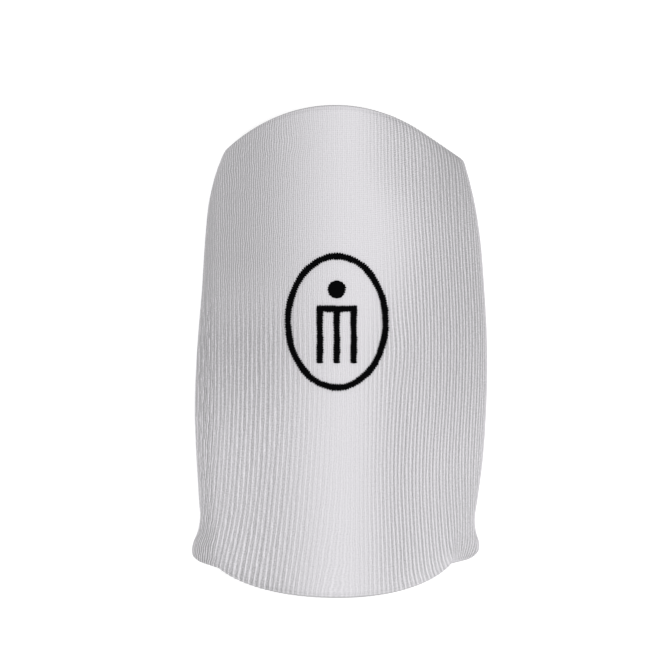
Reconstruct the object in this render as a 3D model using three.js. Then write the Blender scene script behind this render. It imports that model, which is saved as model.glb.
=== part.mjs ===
// A cricket arm guard lying on its back: a ribbed stretch-knit sleeve whose front is filled with
// foam and stands as an arch, and whose thin back lies flat, with an embroidered emblem on top.
// Millimetres, +Z up, +Y towards the narrow end. The origin is the middle of the resting face.

import * as THREE from 'three';

// The sleeve's overall sizes.
const GUARD_LENGTH = 250;
const GUARD_WIDTH = 149.4;
const ARCH_HEIGHT = 50;
// Height of the widest line of each side, and how far in the side curls below it.
const SIDE_HEIGHT = 13;
const SIDE_CURL = 16;
// How far the middle of each end stands past its corners.
const NARROW_END_RISE = 26.6;
const WIDE_END_RISE = 27.5;
// Radius of the soft corners that flare out at the wide end.
const CORNER_RADIUS = 8;

// The walls.
const CROWN_WALL = 12;
const SIDE_WALL = 4;
const BACK_WALL = 2;
// Gap where two pieces meet, and the angle below the widest line where front meets back.
const GAP = 0.3;
const SEAM_ANGLE = THREE.MathUtils.degToRad(22);

// The knit's ribs.
const RIB_PITCH = 2.4;
const RIB_DEPTH = 0.45;

// The embroidered emblem: an upright oval ring round a wicket and a ball.
const BADGE_WIDTH = 53;
const BADGE_HEIGHT = 70;
// Where the emblem's middle lies from the middle of the guard.
const BADGE_RISE = 15;
const BADGE_SHIFT = -1.3;
const BADGE_THICKNESS = 0.9;
const STITCH_WIDTH = 3.4;
const STITCH_ROUNDING = 0.25;
const RING_SEGMENTS = 24;
const STUMP_HEIGHT = 26;
const STUMP_SPACING = 8.6;
const BALL_RADIUS = 4.6;
const BALL_CLEARANCE = 3.5;

const HALF_LENGTH = GUARD_LENGTH / 2;
const HALF_WIDTH = GUARD_WIDTH / 2;
// The wicket and the ball over it stand in the middle of the ring.
const WICKET_FOOT = -(STUMP_HEIGHT + STITCH_WIDTH + BALL_CLEARANCE + 2 * BALL_RADIUS) / 2;

// Cross-sections from the wide end to the narrow end. Along is a share of half the length, left
// and right are shares of half the width, crown of the arch height, side of the side height and
// pad of the crown's wall. Flare bends the foot of the arch outwards where it is above 1.
const SECTIONS = [
  { along: -0.80, left: 1.000, right: 0.952, crown: 0.93, side: 0.60, pad: 0.60, flare: 2.0 },
  { along: -0.76, left: 0.972, right: 0.938, crown: 0.95, side: 0.66, pad: 0.66, flare: 1.7 },
  { along: -0.69, left: 0.945, right: 0.919, crown: 0.97, side: 0.78, pad: 0.80, flare: 1.3 },
  { along: -0.61, left: 0.952, right: 0.938, crown: 0.98, side: 0.90, pad: 0.92, flare: 1.1 },
  { along: -0.48, left: 0.965, right: 0.965, crown: 0.99, side: 1.00, pad: 1.00, flare: 1.0 },
  { along: -0.24, left: 0.980, right: 0.993, crown: 1.00, side: 1.00, pad: 1.00, flare: 1.0 },
  { along: 0.00, left: 0.965, right: 1.000, crown: 1.00, side: 1.00, pad: 1.00, flare: 1.0 },
  { along: 0.25, left: 0.932, right: 0.980, crown: 0.99, side: 1.00, pad: 1.00, flare: 1.0 },
  { along: 0.49, left: 0.905, right: 0.945, crown: 0.97, side: 0.98, pad: 1.00, flare: 1.0 },
  { along: 0.61, left: 0.884, right: 0.912, crown: 0.95, side: 0.94, pad: 0.92, flare: 1.0 },
  { along: 0.73, left: 0.832, right: 0.860, crown: 0.92, side: 0.88, pad: 0.75, flare: 1.1 },
  { along: 0.80, left: 0.775, right: 0.837, crown: 0.90, side: 0.84, pad: 0.60, flare: 1.2 },
];
const SECTION_COLUMNS = ['left', 'right', 'crown', 'side', 'pad', 'flare'];

// The dome of the wide end: its half-width as a share of half the width, and how far its middle
// lies to the left.
const WIDE_DOME_SHARE = 0.884;
const WIDE_DOME_SHIFT = 2.5;

// Rows of points along the front and the back, as shares of the length, closer at the corners.
const ROWS = [0, 0.02, 0.05, 0.09, 0.14, 0.21, 0.31, 0.43, 0.56, 0.69, 0.81, 0.9, 0.96, 1];
// An odd number of steps round each rolled end, so that its middle lies between two rows.
const RIM_STEPS = 3;
const CURL_STEPS = 6;
const FLAT_STEPS = 10;

const sectionTable = new THREE.CubicInterpolant(
  SECTIONS.map((row) => row.along),
  SECTIONS.flatMap((row) => SECTION_COLUMNS.map((column) => row[column])),
  SECTION_COLUMNS.length,
);

function sectionAt(y) {
  const [left, right, crown, side, pad, flare] = sectionTable.evaluate(y / HALF_LENGTH);
  return {
    left: left * HALF_WIDTH,
    right: right * HALF_WIDTH,
    crown: crown * ARCH_HEIGHT,
    side: side * SIDE_HEIGHT,
    pad,
    flare,
  };
}

// A point of the sleeve's outline in the section at y, moved inwards by sideWall at the sides and
// by crownWall at the crown. Angle 0 is the widest point on the right, a quarter turn is the crown
// and half a turn the widest point on the left. Below these the side curls under.
function outlinePoint(angle, y, sideWall, crownWall) {
  const section = sectionAt(y);
  const across = Math.cos(angle);
  const lift = Math.sin(angle);
  const halfWidth = across > 0 ? section.right : section.left;
  if (lift >= 0) {
    const rise = (section.crown - crownWall - section.side) * lift ** section.flare;
    return new THREE.Vector3(across * (halfWidth - sideWall), y, section.side + rise);
  }
  const reach = halfWidth - SIDE_CURL + (SIDE_CURL - sideWall) * Math.abs(across);
  const drop = (section.side - sideWall) * lift;
  return new THREE.Vector3(Math.sign(across) * reach, y, section.side + drop);
}

// Height of the arch over a point of the plan.
function archHeight(x, y) {
  const section = sectionAt(y);
  const share = x / (x > 0 ? section.right : section.left);
  const lift = Math.sqrt(1 - share * share);
  return section.side + (section.crown - section.side) * lift ** section.flare;
}

// The ends in plan. The narrow end is a circular arc over its corners. The wide end is an
// elliptical dome between two round corners that stand out beside its foot.
const narrowSection = sectionAt(HALF_LENGTH);
const wideSection = sectionAt(-HALF_LENGTH);
const narrowHalfChord = (narrowSection.left + narrowSection.right) / 2;
const narrowRadius = (narrowHalfChord ** 2 + NARROW_END_RISE ** 2) / (2 * NARROW_END_RISE);
const cornerMiddle = HALF_LENGTH * SECTIONS[0].along;

function narrowEnd(x) {
  return HALF_LENGTH - narrowRadius + Math.sqrt(narrowRadius ** 2 - x * x);
}

function cornerEnd(x) {
  const halfWidth = x > 0 ? wideSection.right : wideSection.left;
  const past = Math.max(0, Math.abs(x) - (halfWidth - CORNER_RADIUS));
  return cornerMiddle - Math.sqrt(Math.max(0, CORNER_RADIUS ** 2 - past * past));
}

function wideEnd(x) {
  const share = Math.min(1, Math.abs(x + WIDE_DOME_SHIFT) / (WIDE_DOME_SHARE * HALF_WIDTH));
  const dome = WIDE_END_RISE * (1 - Math.sqrt(1 - share * share)) - HALF_LENGTH;
  return Math.min(dome, cornerEnd(x));
}

// Rows of points joined into triangles. Two neighbouring rows may differ in how many they have.
class Skin {
  constructor() {
    this.positions = [];
    this.triangles = [];
  }

  row(points) {
    const first = this.positions.length / 3;
    points.forEach((point) => this.positions.push(point.x, point.y, point.z));
    return points.map((point, i) => first + i);
  }

  zip(rowA, rowB) {
    const lastA = rowA.length - 1;
    const lastB = rowB.length - 1;
    let a = 0;
    let b = 0;
    while (a < lastA || b < lastB) {
      const stepA = b === lastB || (a < lastA && (a + 1) * lastB <= (b + 1) * lastA);
      this.triangles.push(rowA[a], rowB[b], stepA ? rowA[a + 1] : rowB[b + 1]);
      a += stepA ? 1 : 0;
      b += stepA ? 0 : 1;
    }
  }

  geometry() {
    const geometry = new THREE.BufferGeometry();
    geometry.setAttribute('position', new THREE.Float32BufferAttribute(this.positions, 3));
    geometry.setIndex(this.triangles);
    geometry.computeVertexNormals();
    return geometry;
  }
}

// A curved wall as one closed skin. Its rows start halfway round the wide end and run along the
// outside, round the narrow end and back along the inside. A strip down each side edge joins the
// first half of them to the second.
function closedWall(rows) {
  const skin = new Skin();
  const loop = rows.map((points) => skin.row(points));
  loop.forEach((row, i) => skin.zip(row, loop[(i + 1) % loop.length]));
  const half = Math.floor(loop.length / 2);
  const startEdge = loop.map((row) => row[0]);
  const endEdge = loop.map((row) => row[row.length - 1]);
  skin.zip(startEdge.slice(0, half), startEdge.slice(half).reverse());
  skin.zip(endEdge.slice(half).reverse(), endEdge.slice(0, half));
  return skin.geometry();
}

// The sweep of the padded front, from one seam over the crown to the other.
class ArchCurve extends THREE.Curve {
  angle(t) {
    return THREE.MathUtils.lerp(-SEAM_ANGLE, Math.PI + SEAM_ANGLE, t);
  }

  getPoint(t, target = new THREE.Vector3()) {
    return target.copy(outlinePoint(this.angle(t), 0, 0, 0));
  }
}

// The padded front. Its columns lie at equal steps along the arch, a crest and a valley of the
// knit by turns. The rolled ends and the inside have a column for each crest.
function paddedFront() {
  const arch = new ArchCurve();
  const columns = 2 * Math.round(arch.getLength() / RIB_PITCH);
  const ribs = Array.from({ length: columns + 1 }, (_, i) => {
    const angle = arch.angle(arch.getUtoTmapping(i / columns));
    const crownShare = Math.max(0, Math.sin(angle));
    return {
      angle,
      rim: THREE.MathUtils.lerp(SIDE_WALL, CROWN_WALL * narrowSection.pad, crownShare) / 2,
      wide: wideEnd(outlinePoint(angle, -HALF_LENGTH, 0, 0).x),
      narrow: narrowEnd(outlinePoint(angle, HALF_LENGTH, 0, 0).x),
      relief: i % 2 === 0 ? 0 : RIB_DEPTH,
      lift: i === 0 || i === columns ? GAP / 2 : 0,
    };
  });
  const crests = ribs.filter((rib) => rib.relief === 0);

  // A point at a share of the way along, a share of the wall's depth, and past the end by a share
  // of the rim's radius.
  const wallPoint = (rib, share, depth, past, relief = 0) => {
    const y = THREE.MathUtils.lerp(rib.wide + rib.rim, rib.narrow - rib.rim, share) + past * rib.rim;
    const crownWall = depth * CROWN_WALL * sectionAt(y).pad + relief;
    const point = outlinePoint(rib.angle, y, depth * SIDE_WALL + relief, crownWall);
    point.z += rib.lift;
    return point;
  };
  const outside = ROWS.map((share) => ribs.map((rib) => wallPoint(rib, share, 0, 0, rib.relief)));
  const inside = ROWS.map((share) => crests.map((rib) => wallPoint(rib, share, 1, 0)));
  const rim = (share, direction) => Array.from({ length: RIM_STEPS - 1 }, (_, i) => {
    const turn = Math.PI * (i + 1) / RIM_STEPS;
    const depth = (1 - direction * Math.cos(turn)) / 2;
    const past = direction * Math.sin(turn) / Math.cos(Math.PI / (2 * RIM_STEPS));
    return crests.map((rib) => wallPoint(rib, share, depth, past));
  });
  const wideRim = rim(0, -1);
  const innerHalf = wideRim.splice(0, wideRim.length / 2);
  return closedWall([...wideRim, ...outside, ...rim(1, 1), ...inside.reverse(), ...innerHalf]);
}

// The stretch back. Its stations run from the left seam round the left curl, over the flat and
// round the right curl to the right seam.
function stretchBack() {
  const curl = (from, to) => Array.from({ length: CURL_STEPS + 1 }, (_, i) => {
    const angle = THREE.MathUtils.lerp(from, to, i / CURL_STEPS);
    return (y, wall) => outlinePoint(angle, y, wall, 0);
  });
  const flat = Array.from({ length: FLAT_STEPS - 1 }, (_, i) => (y, wall) => {
    const { left, right } = sectionAt(y);
    const x = THREE.MathUtils.lerp(SIDE_CURL - left, right - SIDE_CURL, (i + 1) / FLAT_STEPS);
    return new THREE.Vector3(x, y, wall);
  });
  const stations = [
    ...curl(Math.PI + SEAM_ANGLE, 1.5 * Math.PI),
    ...flat,
    ...curl(-Math.PI / 2, -SEAM_ANGLE),
  ];

  // The narrow end is cut straight from corner to corner.
  const leftX = stations[0](HALF_LENGTH, 0).x;
  const rightX = stations.at(-1)(HALF_LENGTH, 0).x;
  const cut = (x) => THREE.MathUtils.mapLinear(x, leftX, rightX, narrowEnd(leftX), narrowEnd(rightX));
  const row = (share, past, wall) => stations.map((station, i) => {
    const wide = cornerEnd(station(-HALF_LENGTH, 0).x) + SIDE_WALL / 2;
    const narrow = cut(station(HALF_LENGTH, 0).x) - SIDE_WALL / 2;
    const point = station(THREE.MathUtils.lerp(wide, narrow, share) + past * SIDE_WALL / 2, wall);
    point.z -= i === 0 || i === stations.length - 1 ? GAP / 2 : 0;
    return point;
  });
  const face = (wall) => [row(0, -1, wall), ...ROWS.map((share) => row(share, 0, wall)), row(1, 1, wall)];
  return closedWall([...face(0), ...face(BACK_WALL).reverse()]);
}

// An embroidered shape of the emblem, raised from its outline and draped over the arch.
function stitched(shape, segments = 1) {
  const geometry = new THREE.ExtrudeGeometry(shape, {
    depth: BADGE_THICKNESS - 2 * STITCH_ROUNDING,
    bevelThickness: STITCH_ROUNDING,
    bevelSize: STITCH_ROUNDING,
    bevelOffset: -STITCH_ROUNDING,
    bevelSegments: 1,
    curveSegments: segments,
  });
  const position = geometry.getAttribute('position');
  for (let i = 0; i < position.count; i += 1) {
    const x = position.getX(i) + BADGE_SHIFT;
    const y = position.getY(i) + BADGE_RISE;
    const z = archHeight(x, y) + GAP + STITCH_ROUNDING + position.getZ(i);
    position.setXYZ(i, x, y, z);
  }
  geometry.computeVertexNormals();
  return geometry;
}

function badgeRing() {
  const shape = new THREE.Shape();
  shape.absellipse(0, 0, BADGE_WIDTH / 2, BADGE_HEIGHT / 2, 0, 2 * Math.PI);
  const hole = new THREE.Path();
  hole.absellipse(0, 0, BADGE_WIDTH / 2 - STITCH_WIDTH, BADGE_HEIGHT / 2 - STITCH_WIDTH, 0, 2 * Math.PI);
  shape.holes.push(hole);
  return stitched(shape, RING_SEGMENTS);
}

// The wicket: three stumps under one bar of bails, which ends over the outer stumps.
function badgeWicket() {
  const stumps = [1, 0, -1].map((i) => i * STUMP_SPACING);
  const half = STITCH_WIDTH / 2;
  const bailFoot = WICKET_FOOT + STUMP_HEIGHT;
  const top = [...stumps].reverse().flatMap((x) => [x - half, x + half]);
  const outline = top.map((x) => new THREE.Vector2(x, bailFoot + STITCH_WIDTH));
  for (const x of stumps) {
    outline.push(new THREE.Vector2(x + half, bailFoot));
    outline.push(new THREE.Vector2(x + half, WICKET_FOOT));
    outline.push(new THREE.Vector2(x - half, WICKET_FOOT));
    outline.push(new THREE.Vector2(x - half, bailFoot));
  }
  return stitched(new THREE.Shape(outline));
}

function badgeBall() {
  const shape = new THREE.Shape();
  const middle = WICKET_FOOT + STUMP_HEIGHT + STITCH_WIDTH + BALL_CLEARANCE + BALL_RADIUS;
  shape.absarc(0, middle, BALL_RADIUS, 0, 2 * Math.PI);
  return stitched(shape, RING_SEGMENTS / 2);
}

function mesh(name, geometry, material) {
  const piece = new THREE.Mesh(geometry, material);
  piece.name = name;
  return piece;
}

const frontKnit = new THREE.MeshStandardMaterial({ color: '#e4e2e8', roughness: 0.85, metalness: 0 });
const backKnit = new THREE.MeshStandardMaterial({ color: '#dddbe2', roughness: 0.9, metalness: 0 });
const blackThread = new THREE.MeshStandardMaterial({ color: '#141417', roughness: 0.6, metalness: 0 });

const armGuard = new THREE.Group();
armGuard.add(mesh('padded_front', paddedFront(), frontKnit));
armGuard.add(mesh('stretch_back', stretchBack(), backKnit));
armGuard.add(mesh('badge_ring', badgeRing(), blackThread));
armGuard.add(mesh('badge_wicket', badgeWicket(), blackThread.clone()));
armGuard.add(mesh('badge_ball', badgeBall(), blackThread.clone()));

export default armGuard;
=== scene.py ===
"""A cricket arm guard lying on its back, padded front up, narrow end at the top of the picture."""
import math

import bpy
import numpy as np
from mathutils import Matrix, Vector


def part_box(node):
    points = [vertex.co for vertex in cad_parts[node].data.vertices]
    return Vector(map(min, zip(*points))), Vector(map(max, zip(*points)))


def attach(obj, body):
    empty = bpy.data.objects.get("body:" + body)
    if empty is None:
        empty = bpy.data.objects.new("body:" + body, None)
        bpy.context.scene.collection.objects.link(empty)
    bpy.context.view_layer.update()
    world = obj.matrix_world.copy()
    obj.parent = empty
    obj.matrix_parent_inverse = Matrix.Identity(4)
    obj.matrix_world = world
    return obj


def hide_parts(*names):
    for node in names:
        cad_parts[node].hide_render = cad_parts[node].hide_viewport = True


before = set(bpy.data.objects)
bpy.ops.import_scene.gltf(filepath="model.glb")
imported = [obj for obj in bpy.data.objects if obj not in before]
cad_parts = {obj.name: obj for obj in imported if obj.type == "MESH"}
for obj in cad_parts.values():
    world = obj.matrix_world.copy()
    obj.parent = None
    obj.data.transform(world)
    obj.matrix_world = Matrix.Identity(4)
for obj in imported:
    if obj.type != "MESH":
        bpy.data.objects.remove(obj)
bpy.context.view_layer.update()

# The padded front: a foam pad inside a cover of ribbed polyester and elastane knit. The cover is
# pulled tight over the pad, so its ribs flatten over the crown and fan out towards the wide end.
# It is turned round the pad at both ends and stitched down inside.

MM = 0.001
front_low, front_high = (np.array(corner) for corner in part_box("padded_front"))
half_length = (front_high[1] - front_low[1]) / 2 * 1.003
half_width = (front_high[0] - front_low[0]) / 2 * 1.016
arch_height = front_high[2]
side_height = 13 * MM
side_curl = 16 * MM
crown_wall = 12 * MM
side_wall = 4 * MM
seam_angle = math.radians(22)

# Sections from the wide end to the narrow end. Along is a share of half the length, left and
# right are shares of half the width, crown of the arch height, side of the side height and pad of
# the crown's wall. A flare above 1 bends the foot of the arch outwards. The ears are how far the
# soft corners stand out beside the left and right, as shares of half the width.
section_columns = ("left", "right", "crown", "side", "pad", "flare", "left_ear", "right_ear")
section_table = np.array([
    # along  left   right  crown  side   pad    flare  ears
    (-0.880, 0.945, 0.918, 0.900, 0.560, 0.500, 1.30, 0.056, 0.040),
    (-0.835, 0.945, 0.918, 0.915, 0.570, 0.550, 1.30, 0.056, 0.037),
    (-0.810, 0.945, 0.917, 0.925, 0.590, 0.590, 1.28, 0.055, 0.034),
    (-0.780, 0.945, 0.916, 0.938, 0.630, 0.635, 1.25, 0.046, 0.034),
    (-0.740, 0.944, 0.914, 0.955, 0.695, 0.700, 1.20, 0.018, 0.015),
    (-0.690, 0.943, 0.916, 0.970, 0.780, 0.800, 1.15, 0.003, 0.004),
    (-0.610, 0.952, 0.937, 0.980, 0.900, 0.920, 1.08, 0.000, 0.000),
    (-0.480, 0.965, 0.966, 0.990, 1.000, 1.000, 1.00, 0.000, 0.000),
    (-0.240, 0.980, 0.996, 1.000, 1.000, 1.000, 1.00, 0.000, 0.000),
    (0.000, 0.965, 1.003, 1.000, 1.000, 1.000, 1.00, 0.000, 0.000),
    (0.250, 0.932, 0.984, 0.990, 1.000, 1.000, 1.00, 0.000, 0.000),
    (0.490, 0.905, 0.949, 0.970, 0.980, 1.000, 1.00, 0.000, 0.000),
    (0.610, 0.884, 0.917, 0.950, 0.940, 0.920, 1.00, 0.000, 0.000),
    (0.730, 0.836, 0.869, 0.920, 0.880, 0.750, 1.10, 0.000, 0.000),
    (0.780, 0.806, 0.845, 0.910, 0.850, 0.640, 1.15, 0.000, 0.000),
    (0.830, 0.770, 0.818, 0.900, 0.820, 0.580, 1.20, 0.000, 0.000),
    (1.000, 0.690, 0.740, 0.880, 0.760, 0.560, 1.20, 0.000, 0.000),
])
ear_spread = math.radians(30)


def section(y):
    """The sleeve's sizes where it is cut across at y. Every column of the table is joined by cubic
    Hermite curves through its rows, and stays level past the first and the last row."""
    knots = section_table[:, 0]
    values = section_table[:, 1:]
    slopes = np.gradient(values, knots, axis=0)
    share = np.clip(y / half_length, knots[0], knots[-1])
    i = np.clip(np.searchsorted(knots, share) - 1, 0, len(knots) - 2)
    step = (knots[i + 1] - knots[i])[..., None]
    t = (share - knots[i])[..., None] / step
    joined = (
        (1 + 2 * t) * (1 - t) ** 2 * values[i]
        + t * (1 - t) ** 2 * step * slopes[i]
        + t * t * (3 - 2 * t) * values[i + 1]
        + t * t * (t - 1) * step * slopes[i + 1]
    )
    cut = dict(zip(section_columns, np.moveaxis(joined, -1, 0)))
    for name, size in (("left", half_width), ("right", half_width), ("left_ear", half_width),
                       ("right_ear", half_width), ("crown", arch_height), ("side", side_height),
                       ("pad", crown_wall)):
        cut[name] = cut[name] * size
    return cut


def outline(angle, y, depth=0.0, edge_wall=side_wall):
    """Points of the sleeve's outline in the sections at y, a share of the wall's depth inside it.
    Over the widest line it is half an ellipse whose height is raised to the flare, and below it a
    quarter ellipse that curls under. Angle 0 is the widest point on the right, a quarter turn is
    the crown. An ear adds a bell-shaped share of its size round the widest point."""
    cut = section(y)
    across = np.cos(angle)
    lift = np.sin(angle)
    side = np.where(across > 0, 1, -1)
    half = np.where(across > 0, cut["right"], cut["left"])
    ear = np.where(across > 0, cut["right_ear"], cut["left_ear"])
    ear = ear * np.exp(-(np.arcsin(np.clip(lift, -1, 1)) / ear_spread) ** 2)
    edge = edge_wall * depth
    rise = cut["crown"] - depth * cut["pad"] - cut["side"]
    reach = half - side_curl + (side_curl - edge) * np.abs(across)
    upper = lift >= 0
    x = np.where(upper, across * (half - edge), side * reach) + side * ear
    z = cut["side"] + np.where(
        upper,
        rise * np.maximum(lift, 0) ** cut["flare"],
        (cut["side"] - edge) * lift,
    )
    return np.stack(np.broadcast_arrays(x, y, z), axis=-1)


# The ends in plan. The narrow end is a circular arc that runs out straight to the right corner,
# which is rounded. The wide end is half an oval that reaches further to the left. Beside it are
# the ends of the ears: a slope on each side, and a rounded corner.
narrow_radius = 79.5 * MM
narrow_shift = -2.2 * MM
narrow_run_out = 0.667
narrow_corner = 64.3 * MM
narrow_corner_radius = 4.0 * MM
wide_rise = 26.0 * MM
dome_power = 2.15
wide_dome_middle = -1.0 * MM
wide_dome_left = 67.0 * MM
wide_dome_right = 61.5 * MM
left_dome_share = 0.90
right_dome_share = 0.94
left_slope = 0.30
right_slope = 0.21
left_corner = 75.4 * MM
right_corner = 71.8 * MM
left_corner_radius = 5.5 * MM
right_corner_radius = 7.0 * MM


def narrow_end(x):
    """The narrow end over x: a circle's drop below its top, and on the right, past the place
    where the circle is as steep as the run-out, that slope in a straight line. A quarter circle
    rounds the right corner."""
    over = x - narrow_shift
    bend = narrow_radius * narrow_run_out / math.sqrt(1 + narrow_run_out ** 2)
    round_part = np.minimum(over, bend)
    drop = narrow_radius - np.sqrt(narrow_radius ** 2 - round_part ** 2)
    past = np.clip(x - narrow_corner + narrow_corner_radius, 0, narrow_corner_radius)
    corner = narrow_corner_radius - np.sqrt(narrow_corner_radius ** 2 - past ** 2)
    return half_length - drop - narrow_run_out * (over - round_part) - corner


def wide_end(x):
    """The wide end over x: half an oval as wide as the dome and as deep as its rise, which is a
    little squarer than an ellipse, then a straight slope, and a quarter circle up to the corner."""
    reach = np.where(x < wide_dome_middle, wide_dome_left, wide_dome_right)
    share = np.abs(x - wide_dome_middle) / reach
    dome_share = np.where(x < wide_dome_middle, left_dome_share, right_dome_share)
    dome = wide_rise * (1 - np.sqrt(1 - np.minimum(share, dome_share) ** dome_power))
    slope = np.where(x < 0, left_slope, right_slope)
    ear = slope * np.maximum(share - dome_share, 0) * reach
    corner = np.where(x < 0, left_corner, right_corner)
    radius = np.where(x < 0, left_corner_radius, right_corner_radius)
    past = np.clip(np.abs(x) - corner + radius, 0, radius)
    return dome + ear + radius - np.sqrt(radius ** 2 - past ** 2) - half_length


def end_reach(angle, end, start):
    """The y at which the cover's edge at each angle meets the end's curve: the curve is read at
    the edge's x, and the x is taken again at that y, five times."""
    y = np.full_like(angle, start)
    for _ in range(5):
        y = end(outline(angle, y, 0.5)[..., 0])
    return y


def eased(value, start, end):
    """0 before start, 1 after end, and three squares less two cubes of the share between."""
    t = np.clip((value - start) / (end - start), 0, 1)
    return t * t * (3 - 2 * t)


def bell(value, width):
    """1 where the value is 0, and e to the minus square of the value over the width elsewhere."""
    return np.exp(-(value / width) ** 2)


def fading(gap, length):
    """1 where the gap is 0, and e times less for each length of it."""
    return np.exp(-gap / length)


# How far apart the ribs lie as they are seen from above, at places from left to right. The knit
# is drawn wider on the left, and the ribs close up towards both sides.
rib_places = np.array([-80, -72, -62, -50, -37, -22, 0, 22, 35, 47, 60, 70, 80]) * MM
rib_pitches = np.array([1.3, 1.5, 1.93, 2.27, 2.45, 2.5, 2.4, 2.15, 1.93, 1.75, 1.6, 1.4, 1.3]) * MM


def ribs_counted(angle, points, pitches=rib_pitches, side_pitch=2.4 * MM):
    """The number of ribs from the first column to each one. Over the top it grows by each step
    across over the pitch there, and down the sides by each step along the cover over the side
    pitch."""
    steps = np.diff(points, axis=-2)
    middle = (points[..., 1:, 0] + points[..., :-1, 0]) / 2
    turned = np.abs(np.cos((angle[..., 1:] + angle[..., :-1]) / 2))
    from_above = np.abs(steps[..., 0]) / np.interp(middle, rib_places, pitches)
    along_side = np.hypot(steps[..., 0], steps[..., 2]) / side_pitch
    counted = from_above + (along_side - from_above) * eased(turned, 0.78, 0.92)
    return np.concatenate([np.zeros(counted.shape[:-1] + (1,)), np.cumsum(counted, axis=-1)], axis=-1)


# Eight columns of points for each rib of the middle section.
columns_per_rib = 8
fine_angles = np.linspace(-seam_angle, math.pi + seam_angle, 4001)
fine_ribs = ribs_counted(fine_angles, outline(fine_angles, np.zeros(4001)))
rib_count = fine_ribs[-1]
rib_number = np.linspace(0, rib_count, columns_per_rib * round(rib_count) + 1)
front_angles = np.interp(rib_number, fine_ribs, fine_angles)

# How the ribs wander: waves by the number of ribs and by millimetres along, in ribs.
rib_waves = (
    # size  ribs  mm    phase
    (0.060, 17.0, 83.0, 0.4),
    (0.045, 7.20, 47.0, 2.1),
    (0.045, 3.30, 31.0, 4.4),
    (0.040, 2.10, 17.0, 1.2),
    (0.035, 1.70, 9.10, 0.9),
    (0.025, 1.27, 5.70, 3.3),
)


def wander(ribs, along, waves=rib_waves):
    """How far a rib lies beside its straight course: a sum of sines across and along the knit."""
    return sum(
        size * np.sin(2 * math.pi * (ribs / wave + along / MM / length) + phase)
        for size, wave, length, phase in waves
    )


def front_point(angle, share, depth, past):
    """Points of the padded front by angle, share of the way from the wide to the narrow end, share
    of the wall's depth, and share of the rim's radius past the end."""
    narrow_cut = section(np.array(half_length))
    crown_share = np.maximum(0, np.sin(angle))
    rim = (side_wall + (narrow_cut["pad"] - side_wall) * crown_share) / 2
    wide = end_reach(angle, wide_end, -0.85 * half_length) + rim
    narrow = end_reach(angle, narrow_end, 0.85 * half_length) - rim
    return outline(angle, wide + (narrow - wide) * share + past * rim, depth)


def rim_rows(share, turns):
    """Rows round a rolled end: the depth and the reach past the end follow half a circle."""
    turns = np.asarray(turns)
    toward = 1 if share > 0.5 else -1
    depth = (1 - toward * np.cos(turns)) / 2
    return np.stack([np.full(len(turns), share), depth, toward * np.sin(turns)], axis=1)


def wall_rows(shares, depth):
    """Rows along the outer or the inner side of the wall."""
    return np.stack([shares, np.full(len(shares), depth), np.zeros(len(shares))], axis=1)


def crowded(count, crowd):
    """Shares from 0 to 1 that lie closer at both ends: a straight run less a share of a sine."""
    run = np.linspace(0, 1, count)
    return run - crowd * np.sin(2 * math.pi * run) / (2 * math.pi)


# The rows start halfway round the rim at the wide end, run over the outer side to the narrow
# end, round its rim and back along the inner side.
quarter = math.pi / 2
wide_rim_turns = np.array([0.10, 0.30, 0.50, 0.70, 0.90, 1.10, 1.30, 1.45])
outer_rows = len(wide_rim_turns) + np.arange(104)
front_rows = np.concatenate([
    rim_rows(0.0, quarter + wide_rim_turns),
    wall_rows(crowded(len(outer_rows), 0.8), 0.0),
    rim_rows(1.0, [0.12, 0.27, 0.42, 0.57, 0.72, 0.87, 1.02, 1.17, 1.32, 1.47, 1.7, 2.1, 2.5, 2.9]),
    wall_rows(crowded(16, 0.5)[::-1], 1.0),
    rim_rows(0.0, [0.5, 1.1]),
])


def surface_normals(grid):
    """Unit normals of a grid of points: the cross product of its steps along rows and columns."""
    along = np.roll(grid, -1, axis=0) - np.roll(grid, 1, axis=0)
    across = np.gradient(grid, axis=1)
    normal = np.cross(along, across)
    return normal / np.maximum(np.linalg.norm(normal, axis=-1, keepdims=True), 1e-12)


def wall_mesh(name, grid, knit_map, attributes):
    """A wall as one closed mesh from a grid of points whose rows run right round its edge. Each
    four neighbours make a face, and the last row joins the first. A strip of faces down each side
    edge joins each row up to the far end to the row on the way back that lies beside it."""
    rows, columns = grid.shape[:2]
    index = np.arange(rows * columns).reshape(rows, columns)
    here, there = np.meshgrid(np.arange(rows), np.arange(columns - 1), indexing="ij")
    after = (here + 1) % rows
    faces = np.stack([index[here, there], index[after, there],
                      index[after, there + 1], index[here, there + 1]], axis=-1).reshape(-1, 4)
    map_rows = np.stack([here, here + 1, here + 1, here], axis=-1).reshape(-1, 4)
    map_columns = np.stack([there, there, there + 1, there + 1], axis=-1).reshape(-1, 4)
    turn = int(np.argmax(grid[:, 0, 1]))
    beside = np.searchsorted(grid[:turn:-1, 0, 1], grid[:turn + 1, 0, 1]).clip(0, rows - turn - 2)
    beside[0], beside[-1] = 0, rows - turn - 2
    strips = [[i, i + 1, *range(rows - 1 - beside[i + 1], rows - beside[i])] for i in range(turn)]
    strips = [index[strip[::-1], 0] for strip in strips] + [index[strip, -1] for strip in strips]
    once_round = np.concatenate([knit_map, knit_map[:1] + [0, knit_map[-1, 0, 1]]])
    mesh = bpy.data.meshes.new(name)
    mesh.from_pydata(grid.reshape(-1, 3), [], faces.tolist() + [strip.tolist() for strip in strips])
    uv = np.concatenate([once_round[map_rows, map_columns].reshape(-1, 2),
                         knit_map.reshape(-1, 2)[np.concatenate(strips)]])
    mesh.uv_layers.new(name="knit").data.foreach_set("uv", uv.astype(np.float32).ravel())
    for title, values in attributes.items():
        layer = mesh.attributes.new(title, "FLOAT", "POINT")
        layer.data.foreach_set("value", values.astype(np.float32).ravel())
    mesh.shade_smooth()
    piece = bpy.data.objects.new(name, mesh)
    bpy.context.collection.objects.link(piece)
    return piece


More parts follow.
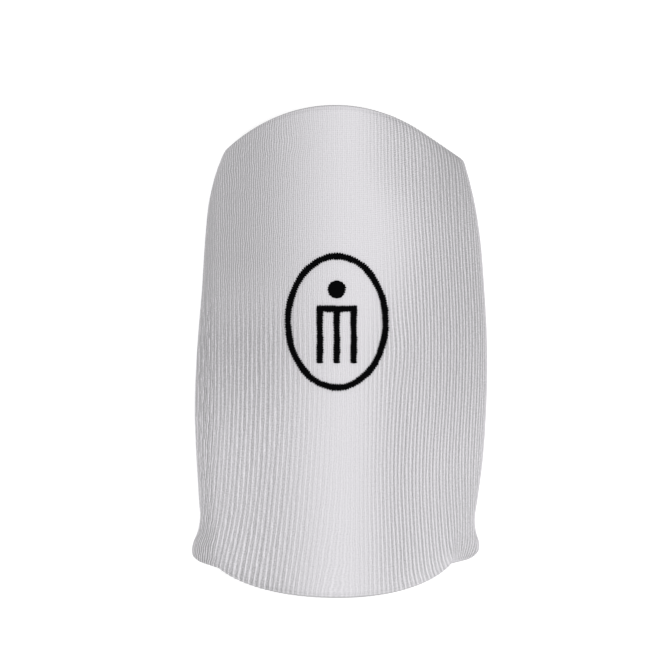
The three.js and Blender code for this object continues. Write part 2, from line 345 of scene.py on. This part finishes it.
angle_row = front_angles[None, :]
front_share, front_depth, front_past = (front_rows[:, i:i + 1] for i in range(3))
front_grid = front_point(angle_row, front_share, front_depth, front_past)

# The place of the emblem, whose stitches go down through the cover into the pad.
ring_low, ring_high = (np.array(corner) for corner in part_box("badge_ring"))
badge_middle = (ring_low + ring_high)[:2] / 2
badge_radii = (ring_high - ring_low)[:2] / 2


def swollen(grid):
    """How far the foam pushes each point of the cover out, found by a cloth simulation: a coarse
    copy of the wall is blown up from inside, held on its inner side, round both ends, along both
    seams and under the emblem's ring. The moves are capped, and spread to the fine grid by
    straight lines and smoothing."""
    coarse_rows, last_step, smoothings = 58, 20, 12
    seam_ribs = 8
    stitched_middle, stitched_reach = 0.95, 0.06
    rows = np.unique(np.round(np.linspace(0, len(grid) - 1, coarse_rows)).astype(int))
    columns = np.arange(0, grid.shape[1], columns_per_rib)
    start = grid[np.ix_(rows, columns)]
    coarse = wall_mesh("pad_under_pressure", start, np.zeros(start.shape[:2] + (2,)), {})
    ring = np.linalg.norm((start[..., :2] - badge_middle) / badge_radii, axis=-1)
    depth = front_depth[rows]
    seam = np.minimum(np.arange(len(columns)), np.arange(len(columns))[::-1])
    held = np.maximum(np.clip(depth * 2, 0, 1), np.clip(1 - seam / seam_ribs, 0, 1)[None, :])
    stitched = np.abs(ring - stitched_middle) < stitched_reach
    held = np.maximum(held, stitched & (depth < 0.5))
    held = np.maximum(held, np.abs(front_past[rows]) > 0)
    group = coarse.vertex_groups.new(name="held")
    for level in np.unique(np.round(held, 2)):
        chosen = np.flatnonzero(np.round(held, 2).ravel() == level)
        group.add([int(i) for i in chosen], float(level), "REPLACE")
    cloth = coarse.modifiers.new("pressure", "CLOTH")
    cloth.settings.quality = 6
    cloth.settings.mass = 0.3
    cloth.settings.tension_stiffness = 30
    cloth.settings.compression_stiffness = 30
    cloth.settings.shear_stiffness = 15
    cloth.settings.bending_stiffness = 2
    cloth.settings.use_pressure = True
    cloth.settings.uniform_pressure_force = 40
    cloth.settings.vertex_group_mass = "held"
    cloth.settings.effector_weights.gravity = 0
    cloth.point_cache.frame_start = 1
    cloth.point_cache.frame_end = last_step
    for step in range(1, last_step + 1):
        bpy.context.scene.frame_set(step)
    ready = coarse.evaluated_get(bpy.context.evaluated_depsgraph_get())
    moved = np.empty(start.size, dtype=np.float32)
    ready.data.vertices.foreach_get("co", moved)
    bpy.context.scene.frame_set(1)
    bpy.data.objects.remove(coarse)
    push = moved.reshape(start.shape) - start
    size = np.linalg.norm(push, axis=-1, keepdims=True)
    push = push * np.minimum(1, swell_cap / np.maximum(size, 1e-9))
    print("pad swells, mm: most", round(float(size.max()) / MM, 2),
          "mean", round(float(size.mean()) / MM, 2))
    place = np.interp(np.arange(len(grid)), rows, np.arange(len(rows)))
    low = np.minimum(place.astype(int), len(rows) - 2)
    part = (place - low)[:, None, None]
    push = push[low] * (1 - part) + push[low + 1] * part
    place = np.arange(grid.shape[1]) / columns_per_rib
    low = np.minimum(place.astype(int), len(columns) - 2)
    part = (place - low)[None, :, None]
    push = push[:, low] * (1 - part) + push[:, low + 1] * part
    for _ in range(smoothings):
        push[:, 1:-1] = (push[:, :-2] + 2 * push[:, 1:-1] + push[:, 2:]) / 4
        push = (np.roll(push, 1, axis=0) + 2 * push + np.roll(push, -1, axis=0)) / 4
    return push


swell_cap = 1.6 * MM
front_swell = swollen(front_grid)
front_grid = front_grid + front_swell

# Where each point of the swollen cover lies, also as shares of half the width and half the
# length, and how far along the cover's column it is from the wide and from the narrow end.
x_grid, along_grid = front_grid[..., 0], front_grid[..., 1]
across_share = x_grid / half_width
along_share = along_grid / half_length
wide_gap = along_grid - along_grid.min(axis=0)
narrow_gap = along_grid.max(axis=0) - along_grid
on_wall = eased(-np.sin(angle_row), -0.24, 0.02)

# How far the ribs drift to the left of their places at half length, each size times where it
# acts. On the lower left they lean outwards to the wide end, most by the ear. On the right they
# lean in to the narrow end and bow in a little below the middle. They turn out by the wide end's
# hem and in by the narrow end's, bow out beside the stiff emblem and at the left shoulder, and
# are gathered at the pinch, where the seam of the right ear pulls on the hem.
pinch = (57.8 * MM, -107.9 * MM)
gather_reach = 10 * MM
pinch_x, pinch_y = x_grid - pinch[0], along_grid - pinch[1]
pinched = bell(pinch_x, gather_reach) * bell(pinch_y, gather_reach)
left_lean = (
    9.3 * MM * np.maximum(0, (-along_share - 0.1) / 0.9) ** 1.9
    + 2.2 * MM * eased(-along_share, 0.6, 0.95) * eased(-x_grid, 35 * MM, 60 * MM)
)
right_lean = 4.2 * MM * eased(along_share, 0.0, 0.85) + 2.4 * MM * bell(along_share + 0.5, 0.28)
wide_turn = 3.2 * MM * fading(wide_gap, 6.5 * MM) * eased(x_grid, 12 * MM, 50 * MM)
narrow_turn = 2.4 * MM * fading(narrow_gap, 7 * MM) * eased(x_grid, 12 * MM, 45 * MM)
shoulder = 1.6 * MM * bell(x_grid + 22 * MM, 9 * MM) * bell(along_grid - 109 * MM, 9 * MM)
beside_badge = 1.3 * MM * bell(x_grid - 31 * MM, 9 * MM) * bell(along_grid, 15 * MM)
gathered = 14 * MM * (1 - fading(np.maximum(pinch_x, 0), 6 * MM)) * fading(np.abs(pinch_y), 7 * MM)
drift = (
    left_lean * (1 - eased(x_grid, -12 * MM, 10 * MM))
    + right_lean * eased(x_grid, 5 * MM, 35 * MM)
    + narrow_turn - wide_turn
    - beside_badge - shoulder
    + gathered
)

# The number of ribs from the crown to each point. Each rib is a narrow crest between wide valleys,
# 0 on the crest and 1 in the valley, and it ends at the seams.
crown_column = np.searchsorted(front_angles, quarter)
rib_grid = ribs_counted(angle_row, outline(angle_row, along_grid))
rib_grid = rib_grid - rib_grid[:, crown_column:crown_column + 1]
rib_grid = rib_grid - drift / np.interp(x_grid, rib_places, rib_pitches)
rib_grid = rib_grid + wander(rib_grid, along_grid) * (0.7 - 0.25 * eased(across_share, -0.1, 0.3))
crest_sharpness = 1.9 + 1.5 * eased(-across_share, -0.1, 0.3)
valley = 1 - ((1 + np.cos(2 * math.pi * rib_grid)) / 2) ** crest_sharpness
valley = valley * np.clip(np.minimum(rib_number, rib_count - rib_number), 0, 1)[None, :]

# How high the ribs stand, as a share. Over the crown and on the upper left the knit is drawn flat
# and shows its single stitches instead, and on the side walls the ribs stand again. They are
# lower at the pinch, by the hems on the right and on the left ear.
flat_crown = 0.18 * eased(along_share, -0.1, 0.45) * (1 - 0.85 * eased(along_share, 0.5, 0.8))
right_ribs = eased(across_share - flat_crown, 0.04, 0.46)
left_ribs = eased(-across_share, -0.05, 0.6) * (1 - 0.93 * eased(along_share, 0.02, 0.36))
left_ribs = left_ribs * (1 - 0.5 * eased(-across_share, 0.86, 0.96))
by_wide_hem = eased(x_grid, 0, 30 * MM) * (1 - eased(x_grid, 48 * MM, 58 * MM))
by_wide_hem = by_wide_hem * fading(wide_gap, 8 * MM)
by_narrow_hem = fading(narrow_gap, 4.5 * MM) * eased(x_grid, 8 * MM, 36 * MM) * (1 - on_wall)
left_ear = eased(-x_grid, 59 * MM, 68 * MM) * eased(-along_grid, 78 * MM, 94 * MM) * (1 - on_wall)
ribs_stand = 0.07 + 0.93 * np.maximum(np.clip(right_ribs + left_ribs, 0, 1), on_wall)
ribs_stand = ribs_stand * (1 + 0.10 * np.sin(rib_grid * 2.4 + along_grid / MM / 17))
ribs_stand = ribs_stand * (1 - 0.5 * pinched ** 4) * (1 - 0.35 * by_wide_hem)
ribs_stand = ribs_stand * (1 - 0.40 * by_narrow_hem) * (1 - 0.55 * left_ear)

# Where the knit's colour is dimmed, mostly as painted shade. On the upper left, where the knit is
# closed up, it is dimmed partly by its denser stitches and partly as painted shade between them.
# There is painted shade at both edges, which turn from the light, along the right shoulder and by the
# hems, and the colour is dimmed on the left ear.
# Where it is drawn open, and on the right ear, its colour is lighter.
closed_up = eased(-across_share, -0.1, 0.75) * eased(along_share, -0.4, 0.1)
closed_up = closed_up * (0.58 + 0.42 * eased(along_share, 0.05, 0.4)) * (1 - 0.6 * on_wall)
opened_up = eased(np.abs(across_share), 0.3, 0.7) * eased(-along_share, 0.1, 0.5)
at_left_edge = eased(-across_share, 0.80, 0.96) * (1 - on_wall)
at_right_edge = eased(across_share, 0.45, 0.95) * (0.4 + 0.6 * eased(along_share, -0.3, 0.3))
at_right_edge = at_right_edge + 0.7 * eased(across_share, 0.4, 0.8) * eased(along_share, 0.45, 0.8)
at_right_edge = at_right_edge * (1 - on_wall)
by_left_hem = fading(wide_gap, 4 * MM) * eased(-x_grid, 5 * MM, 45 * MM) * (1 - on_wall)
right_ear = eased(x_grid, 56 * MM, 62 * MM) * eased(-along_grid, 98 * MM, 106 * MM) * (1 - on_wall)
painted_shade_and_closed_knit = (
    0.50 * closed_up - 0.08 * opened_up
    + 0.26 * at_left_edge + 0.19 * at_right_edge
    + 0.38 * by_narrow_hem + 0.20 * by_left_hem * (1 - left_ear)
    + 0.30 * left_ear - 0.14 * right_ear
)

# Where the knit is drawn flat its stitches stand in columns 1.13 mm apart, which wander too. They
# show most where it is closed up, at the left edge and on the left ear. Its courses, the rows
# across, show a little, and most to the right of the crown by the narrow end.
wale_pitch = 1.13 * MM
wale_waves = (
    # size  ribs   mm    phase
    (0.16, 13.0, 19.0, 0.0),
    (0.10, -11.0, 9.7, 2.0),
    (0.06, 9.0, 5.3, 4.0),
)
wale_grid = ribs_counted(angle_row, outline(angle_row, along_grid),
                         np.full(len(rib_places), wale_pitch), 1.4 * wale_pitch)
wale_grid = wale_grid - wale_grid[:, crown_column:crown_column + 1] - drift / wale_pitch
wale_grid = wale_grid + wander(rib_grid, along_grid, wale_waves)
fine_stitches = np.maximum(closed_up * (1 - left_ribs) * (1 - on_wall), 1.9 * at_left_edge)
fine_stitches = 0.07 + 0.27 * fine_stitches + 0.02 * ribs_stand + 0.12 * left_ear
courses = 0.12 * bell(x_grid - 30 * MM, 14 * MM) * eased(along_share, 0.25, 0.6)
courses = 0.03 + 0.07 * eased(along_share, -0.1, 0.5) + courses

# The cover is stitched down 2 mm inside both ends, which leaves a shallow groove there. The ribs
# are lower at the folds, and the gathered ribs of the right ear lie too close to stand high.
rib_depth = 0.38 * MM
hem_depth = 0.15 * MM
hem_inset = 1.9 * MM
hem_width = 0.40 * MM
fold_width = 0.40 * MM
end_gap = np.minimum(wide_gap, narrow_gap)
hem = bell(end_gap - hem_inset, hem_width) * (front_depth < 0.5)
# Painted shade: a dark line painted along the rolled edge at each end.
painted_fold_shade = bell(end_gap, fold_width) * (1 - eased(front_depth, 0.5, 0.7))
off_fold = np.maximum(eased(end_gap, 0.2 * MM, 1.5 * MM), eased(front_depth, 0.5, 0.9))
valley = valley * (0.5 + 0.5 * off_fold)
sink = rib_depth * ribs_stand * valley * (1 - 0.85 * right_ear) + hem_depth * hem
front_grid = front_grid - surface_normals(front_grid) * sink[..., None]
# Painted shade in the valleys between the ribs: deeper where the ribs stand high, less where the knit
# is closed up, and more among the gathered ribs of the right ear.
painted_valley_shade = 0.68 * valley * ribs_stand * (1 - 0.4 * closed_up) * (1 + 0.5 * right_ear)


def run_along(grid):
    """How far each point of a grid lies along its column from the first row, in millimetres."""
    steps = np.linalg.norm(np.diff(grid, axis=0, prepend=grid[:1]), axis=-1)
    return np.cumsum(steps, axis=0) / MM


front_map = np.stack([rib_grid, run_along(front_grid)], axis=-1)
# The colour's shade attributes carry painted shade. 'valley' holds the valleys' painted shade, a
# painted dark line along each rolled edge, a little painted shade in the hem's groove and a base of
# 0.08. 'closed' holds the closed-up knit, with painted shade at the edges and by the hems.
padded_front = wall_mesh("padded_front_knit", front_grid, front_map, {
    "valley": painted_valley_shade + 0.08 + 1.1 * painted_fold_shade + 0.10 * hem,
    "stand": ribs_stand,
    "closed": painted_shade_and_closed_knit,
    "fine": fine_stitches,
    "wale": wale_grid,
    "course": courses,
})


def linear(hex_colour):
    """A colour of the screen, as linear light: the sRGB curve undone for each channel."""
    channels = [int(hex_colour[i:i + 2], 16) / 255 for i in (1, 3, 5)]
    return [c / 12.92 if c <= 0.04045 else ((c + 0.055) / 1.055) ** 2.4 for c in channels] + [1.0]


def node(tree, kind, links=(), **settings):
    """One node with its settings, and the values or sockets that go into its inputs."""
    made = tree.nodes.new(kind)
    for name, value in settings.items():
        setattr(made, name, value)
    for name, value in dict(links).items():
        if isinstance(value, bpy.types.NodeSocket):
            tree.links.new(value, made.inputs[name])
        else:
            made.inputs[name].default_value = value
    return made


def ribbed_knit(name, crest, dip):
    """Matt white polyester and elastane rib knit. The valleys are painted in a deeper colour than the
    crests, as painted shade for the little light that gets into them, and where the ribs are drawn flat
    the eye sees rows of stitches instead. They are 0.6 by 0.5 mm, and drawn 1.13 by 1.07 mm to show at
    all. The shade between the crest's and the valley's colour is the valleys' painted shade, the closed
    knit with its painted shade and the flat knit's part of
    0.22, less the height: columns of stitches that noise breaks up and pushes sideways, the yarn's
    own unevenness, and courses."""
    course_pitch = 1.07
    material = bpy.data.materials.new(name)
    material.use_nodes = True
    tree = material.node_tree
    shader = tree.nodes["Principled BSDF"]
    knit = node(tree, "ShaderNodeSeparateXYZ", {
        "Vector": node(tree, "ShaderNodeUVMap", uv_map="knit").outputs["UV"]})
    ribs, run = knit.outputs["X"], knit.outputs["Y"]

    def attribute(title):
        return node(tree, "ShaderNodeAttribute", attribute_name=title).outputs["Fac"]

    def maths(operation, first, second=0.0, third=0.0):
        made = node(tree, "ShaderNodeMath", {0: first, 1: second, 2: third}, operation=operation)
        return made.outputs[0]

    def noise(to_rib, to_mm):
        place = node(tree, "ShaderNodeCombineXYZ", {
            "X": maths("MULTIPLY", ribs, to_rib), "Y": maths("MULTIPLY", run, to_mm)})
        return node(tree, "ShaderNodeTexNoise", {
            "Vector": place.outputs[0], "Scale": 1.0, "Detail": 1.0}).outputs["Fac"]

    standing = attribute("stand")
    broken = noise(2.1, 0.9)
    pushed = maths("MULTIPLY", noise(0.6, 0.30), 3.6)
    columns = maths("SINE", maths("MULTIPLY_ADD", attribute("wale"), 2 * math.pi, pushed))
    column_height = maths("MULTIPLY", attribute("fine"), maths("MULTIPLY", broken, 2.0))
    strokes = maths("MULTIPLY", columns, column_height)
    yarn = maths("SUBTRACT", noise(5.2, 1.4), 0.5)
    yarn = maths("MULTIPLY", yarn, maths("MULTIPLY_ADD", standing, 0.9, 0.4))
    course = maths("SINE", maths("MULTIPLY", run, 2 * math.pi / course_pitch))
    course = maths("MULTIPLY", course, maths("MULTIPLY", attribute("course"), broken))
    height = maths("ADD", maths("ADD", strokes, yarn), course)
    flat = maths("SUBTRACT", 1.0, standing)
    # Painted shade: the valley and closed attributes mix the colour towards the dip.
    shade = maths("MULTIPLY_ADD", flat, 0.22, attribute("valley"))
    shade = maths("SUBTRACT", maths("ADD", shade, attribute("closed")), height)
    colour = node(tree, "ShaderNodeMix", {
        "Factor": shade, "A": linear(crest), "B": linear(dip)}, data_type="RGBA")
    bump = node(tree, "ShaderNodeBump", {"Height": height, "Distance": 0.0004, "Strength": 0.7})
    tree.links.new(colour.outputs["Result"], shader.inputs["Base Color"])
    tree.links.new(bump.outputs["Normal"], shader.inputs["Normal"])
    shader.inputs["Roughness"].default_value = 0.85
    shader.inputs["Specular IOR Level"].default_value = 0.25
    shader.inputs["Sheen Weight"].default_value = 0.1
    shader.inputs["Sheen Roughness"].default_value = 0.5
    return material


padded_front.data.materials.append(ribbed_knit("front_rib_knit", "#dfdde1", "#959496"))
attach(padded_front, "root")
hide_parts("padded_front")

# The stretch back: a thinner rib knit of the same yarn, with more elastane, that closes the
# sleeve. It is sewn to the front along both sides, under the widest line, and lies flat.

back_wall = 2 * MM
back_seam_angle = seam_angle + math.radians(0.6)


def back_outline(place, y, depth):
    """Points of the back's cross-section at y. Place runs from 0 at the left seam to 1 where the
    left curl meets the floor, to 2 at the other end of the flat part, to 3 at the right seam."""
    quarter_left = math.pi + back_seam_angle + (quarter - back_seam_angle) * np.clip(place, 0, 1)
    quarter_right = -quarter + (quarter - back_seam_angle) * np.clip(place - 2, 0, 1)
    curled = outline(np.where(place < 1.5, quarter_left, quarter_right), y, depth, back_wall)
    cut = section(y)
    start = side_curl - cut["left"]
    end = cut["right"] - side_curl
    x = np.where((place > 1) & (place < 2), start + (end - start) * (place - 1), curled[..., 0])
    return np.stack([x, curled[..., 1], curled[..., 2]], axis=-1)


back_pitch = 2.2 * MM
back_rib_depth = 0.3 * MM
back_columns_per_rib = 6
fine_places = np.linspace(0, 3, 4001)
fine_points = back_outline(fine_places, np.zeros(4001), 0.0)
fine_run = np.concatenate([[0], np.cumsum(np.linalg.norm(np.diff(fine_points, axis=0), axis=1))])
back_width = fine_run[-1]
back_ribs = round(back_width / back_pitch)
back_number = np.linspace(0, back_ribs, back_columns_per_rib * back_ribs + 1)
back_places = np.interp(back_number * back_width / back_ribs, fine_run, fine_places)

seam_angles = np.array([math.pi + back_seam_angle, -back_seam_angle])
back_wide_corners = end_reach(seam_angles, wide_end, -0.85 * half_length)
back_narrow_corners = end_reach(seam_angles, narrow_end, 0.85 * half_length)


def back_point(place, share, depth, past):
    """Points of the back by place, share of the way from the wide to the narrow end, share of the
    wall's depth and share of the rim's radius past the end. Both ends are cut straight between
    the front's two corners."""
    rim = back_wall / 2
    wide = np.interp(place, [0, 3], back_wide_corners) + rim
    narrow = np.interp(place, [0, 3], back_narrow_corners) - rim
    return back_outline(place, wide + (narrow - wide) * share + past * rim, depth)


back_rows = np.concatenate([
    rim_rows(0.0, quarter + np.array([0.3, 0.9, 1.3])),
    wall_rows(crowded(56, 0.6), 0.0),
    rim_rows(1.0, [0.3, 0.8, 1.3, 1.8, 2.3, 2.8]),
    wall_rows(crowded(56, 0.6)[::-1], 1.0),
    rim_rows(0.0, [0.3, 0.9, 1.3]),
])
back_grid = back_point(back_places[None, :], *(back_rows[:, i:i + 1] for i in range(3)))
back_rib_grid = back_number[None, :] + wander(back_number[None, :], back_grid[..., 1])
back_valley = (1 - np.cos(2 * math.pi * back_rib_grid)) / 2
back_valley = back_valley * np.clip(np.minimum(back_number, back_ribs - back_number), 0, 1)[None, :]
back_grid = back_grid - surface_normals(back_grid) * (back_rib_depth * back_valley)[..., None]
back_map = np.stack([back_rib_grid, run_along(back_grid)], axis=-1)
# The back's valleys are dimmed as painted shade, and its closed knit a little all over.
stretch_back = wall_mesh("stretch_back_knit", back_grid, back_map, {
    "valley": back_valley * 0.8,
    "stand": np.full(back_grid.shape[:2], 0.8),
    "closed": np.full(back_grid.shape[:2], 0.1),
    "fine": np.full(back_grid.shape[:2], 0.12),
    "wale": back_rib_grid * 2,
    "course": np.full(back_grid.shape[:2], 0.04),
})
stretch_back.data.materials.append(ribbed_knit("back_stretch_knit", "#e4e2e8", "#8f8e91"))
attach(stretch_back, "root")
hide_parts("stretch_back")

# The emblem: satin stitch in black polyester thread, sewn through the cover and into the pad.
# Each stroke is a low dome of threads that lie side by side across it. The threads are 0.4 mm
# thick and drawn 1.25 mm apart, so that they show.

thread_pitch = 1.25 * MM
thread_relief = 0.10 * MM
tooth_length = 0.70 * MM
uneven_ends = 0.20 * MM
stroke_width = 3.4 * MM
stroke_height = 0.75 * MM
edge_share = 0.25
front_middle = front_point(np.full(len(front_rows), quarter), *front_rows.T)[:, 1]


def cover_height(x, y):
    """The height of the cover over x and y: the arch's half ellipse, and what the pad swells."""
    cut = section(y)
    half = np.where(x > 0, cut["right"], cut["left"])
    angle = np.arccos(np.clip(x / half, -1, 1))
    flat_height = outline(angle, y)[..., 2]
    column = np.interp(angle, front_angles, np.arange(len(front_angles)))
    row = np.interp(y, front_middle[outer_rows], outer_rows)
    near = np.round(row).astype(int), np.round(column).astype(int)
    return flat_height + front_swell[near][..., 2]


def satin(name, strokes):
    """One closed mesh of satin stitch strokes. A stroke is a path, the direction across it and a
    half width for each point. Its section is a low dome, a quarter of its height at the edges,
    over a flat underside. Each thread adds its relief to the dome by the sine of its place, and
    its two ends stand out by the same sine, so that the stroke's edges are toothed. Each end is
    also in or out of line, by the fraction left of a large multiple of a sine. Strokes less than
    half a millimetre to a side have plain edges."""
    turn = np.linspace(0, 2 * math.pi, 16, endpoint=False)
    points, faces, count = [], [], 0
    for path, across, half, closed in strokes:
        steps = np.linalg.norm(np.diff(path, axis=0, prepend=path[:1]), axis=1)
        run = np.cumsum(steps)
        thread = run / thread_pitch
        ridge = np.abs(np.sin(math.pi * thread))
        side = np.floor(thread)[:, None] + 0.37 * (np.cos(turn) > 0)
        uneven = np.modf(np.sin(side * 12.9898) * 43758.5453)[0]
        ragged = uneven_ends * uneven + tooth_length * (ridge[:, None] - 0.75)
        reach = np.maximum(half[:, None] + ragged * (half[:, None] > 0.5 * MM), 0.02 * MM)
        flat = path[:, None, :] + across[:, None, :] * (np.cos(turn) * reach)[..., None]
        up = np.sin(turn).round(9)
        dome = edge_share + (1 - edge_share) * np.maximum(up, 0) ** 0.8
        lift = np.where(up >= 0, dome, edge_share * up)
        low = np.minimum(1, half / (0.5 * stroke_width))[:, None]
        height = lift * low * (stroke_height + thread_relief * ridge[:, None])
        z = cover_height(flat[..., 0], flat[..., 1]) + height
        grid = np.concatenate([flat, z[..., None]], axis=-1)
        rows, columns = grid.shape[:2]
        index = count + np.arange(rows * columns).reshape(rows, columns)
        ahead = np.roll(index, -1, axis=0) if closed else index[1:]
        here = index if closed else index[:-1]
        beside, beyond = np.roll(here, -1, axis=1), np.roll(ahead, -1, axis=1)
        quads = np.stack([here, ahead, beyond, beside], axis=-1)
        faces += quads.reshape(-1, 4).tolist()
        if not closed:
            faces += [index[0].tolist(), index[-1, ::-1].tolist()]
        points.append(grid.reshape(-1, 3))
        count += rows * columns
    mesh = bpy.data.meshes.new(name)
    mesh.from_pydata(np.concatenate(points), [], faces)
    mesh.shade_smooth()
    piece = bpy.data.objects.new(name, mesh)
    bpy.context.collection.objects.link(piece)
    return piece


def straight_stroke(start, end, half):
    """A straight stroke between two points. Over its first and last 0.8 mm its half width grows
    from three quarters to the whole, along a quarter circle."""
    end_length = 0.8 * MM
    length = math.dist(start, end)
    run = np.linspace(0, 1, max(8, round(length / (thread_pitch / 6))))[:, None]
    path = np.array(start) + (np.array(end) - np.array(start)) * run
    ahead = (np.array(end) - np.array(start)) / length
    across = np.broadcast_to([ahead[1], -ahead[0]], path.shape)
    from_end = np.minimum(run, 1 - run)[:, 0] * length
    round_off = np.sqrt(np.clip(1 - (1 - np.minimum(from_end / end_length, 1)) ** 2, 0, 1))
    return path, across, half * (0.75 + 0.25 * round_off), False


def satin_thread(name, colour):
    """Black polyester embroidery thread, laid as satin stitch: nearly black, a little uneven by
    its fibres, and with hardly any gloss under the soft light."""
    material = bpy.data.materials.new(name)
    material.use_nodes = True
    tree = material.node_tree
    shader = tree.nodes["Principled BSDF"]
    place = node(tree, "ShaderNodeTexCoord").outputs["Object"]
    fibres = node(tree, "ShaderNodeTexNoise", {"Vector": place, "Scale": 2500.0, "Detail": 2.0})
    tone = node(tree, "ShaderNodeMix", {
        "Factor": fibres.outputs["Fac"], "A": linear("#000001"), "B": linear(colour),
    }, data_type="RGBA")
    bump = node(tree, "ShaderNodeBump", {
        "Height": fibres.outputs["Fac"], "Distance": 0.0001, "Strength": 0.5})
    tree.links.new(tone.outputs["Result"], shader.inputs["Base Color"])
    tree.links.new(bump.outputs["Normal"], shader.inputs["Normal"])
    shader.inputs["Roughness"].default_value = 0.7
    shader.inputs["Specular IOR Level"].default_value = 0.02
    return material


black_thread = satin_thread("black_satin_thread", "#060607")
ring_turn = np.linspace(0, 2 * math.pi, 1120, endpoint=False)
ring_mid = badge_radii - stroke_width / 2
ring_round = np.stack([np.cos(ring_turn), np.sin(ring_turn)], axis=-1)
ring_path = badge_middle + ring_mid * ring_round
ring_out = ring_round / ring_mid
ring_out = ring_out / np.linalg.norm(ring_out, axis=1, keepdims=True)
ring_half = np.full(len(ring_turn), stroke_width / 2)
badge_ring = satin("badge_ring_thread", [(ring_path, ring_out, ring_half, True)])

wicket_low, wicket_high = (np.array(corner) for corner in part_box("badge_wicket"))
wicket_half = stroke_width / 2
stump_places = np.linspace(wicket_low[0] + wicket_half, wicket_high[0] - wicket_half, 3)
bail_y = wicket_high[1] - wicket_half
badge_wicket = satin("badge_wicket_thread", [
    straight_stroke((x, wicket_low[1]), (x, bail_y), wicket_half) for x in stump_places
] + [
    straight_stroke((wicket_low[0], bail_y), (wicket_high[0], bail_y), wicket_half)
])

ball_low, ball_high = (np.array(corner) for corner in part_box("badge_ball"))
ball_radius = (ball_high[0] - ball_low[0]) / 2
ball_middle = (ball_low + ball_high)[:2] / 2
ball_turn = np.linspace(0, math.pi, 60)
ball_run = -ball_radius * np.cos(ball_turn)
ball_path = ball_middle + np.stack([np.zeros_like(ball_run), ball_run], axis=-1)
ball_across = np.broadcast_to([1.0, 0.0], ball_path.shape)
ball_half = ball_radius * np.sin(ball_turn)
badge_ball = satin("badge_ball_thread", [(ball_path, ball_across, ball_half, False)])

for stitched, cad_node in (
    (badge_ring, "badge_ring"), (badge_wicket, "badge_wicket"), (badge_ball, "badge_ball"),
):
    stitched.data.materials.append(black_thread)
    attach(stitched, "root")
    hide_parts(cad_node)

# The studio: a backlit white table top, a soft light far above the guard and a little to its
# right, pale walls all round, and a camera straight above.

floor_reach = 3
floor_corners = [(x * floor_reach, y * floor_reach, 0) for x, y in ((-1, -1), (1, -1), (1, 1), (-1, 1))]
floor_mesh = bpy.data.meshes.new("floor")
floor_mesh.from_pydata(floor_corners, [], [(0, 1, 2, 3)])
floor = bpy.data.objects.new("floor", floor_mesh)
bpy.context.collection.objects.link(floor)
floor_sheet = bpy.data.materials.new("backlit_white_acrylic")
floor_sheet.use_nodes = True
floor_shader = floor_sheet.node_tree.nodes["Principled BSDF"]
floor_shader.inputs["Base Color"].default_value = linear("#cccccc")
floor_shader.inputs["Roughness"].default_value = 0.9
floor_shader.inputs["Emission Color"].default_value = (1, 1, 1, 1)
floor_shader.inputs["Emission Strength"].default_value = 0.55
floor.data.materials.append(floor_sheet)

world = bpy.data.worlds.new("studio")
world.use_nodes = True
world.node_tree.nodes["Background"].inputs["Color"].default_value = (1, 1, 1, 1)
world.node_tree.nodes["Background"].inputs["Strength"].default_value = 0.85
bpy.context.scene.world = world

key = bpy.data.lights.new("soft_light", "AREA")
key.shape = "DISK"
key.size = 1.0
key.energy = 24
key_light = bpy.data.objects.new("soft_light", key)
key_light.location = (0.25, -0.1, 2.5)
key_light.rotation_euler = (-0.04, 0.1, 0)
bpy.context.collection.objects.link(key_light)

# The picture is 665 pixels square and shows 0.508 mm to a pixel at the height of the crown.
image_size = 665
pixel = 0.508 * MM
sight_height = 3.5
crown_height = 0.046
guard_pixel = (339.35, 351.4)
sensor_width = 36
camera_data = bpy.data.cameras.new("camera")
camera_data.sensor_width = sensor_width
camera_data.lens = sensor_width * (sight_height - crown_height) / (image_size * pixel)
camera_data.clip_end = 100
camera = bpy.data.objects.new("camera", camera_data)
camera.location = (
    -(guard_pixel[0] - image_size / 2) * pixel,
    (guard_pixel[1] - image_size / 2) * pixel,
    sight_height,
)
bpy.context.collection.objects.link(camera)
bpy.context.scene.camera = camera
bpy.context.scene.view_settings.view_transform = "Standard"
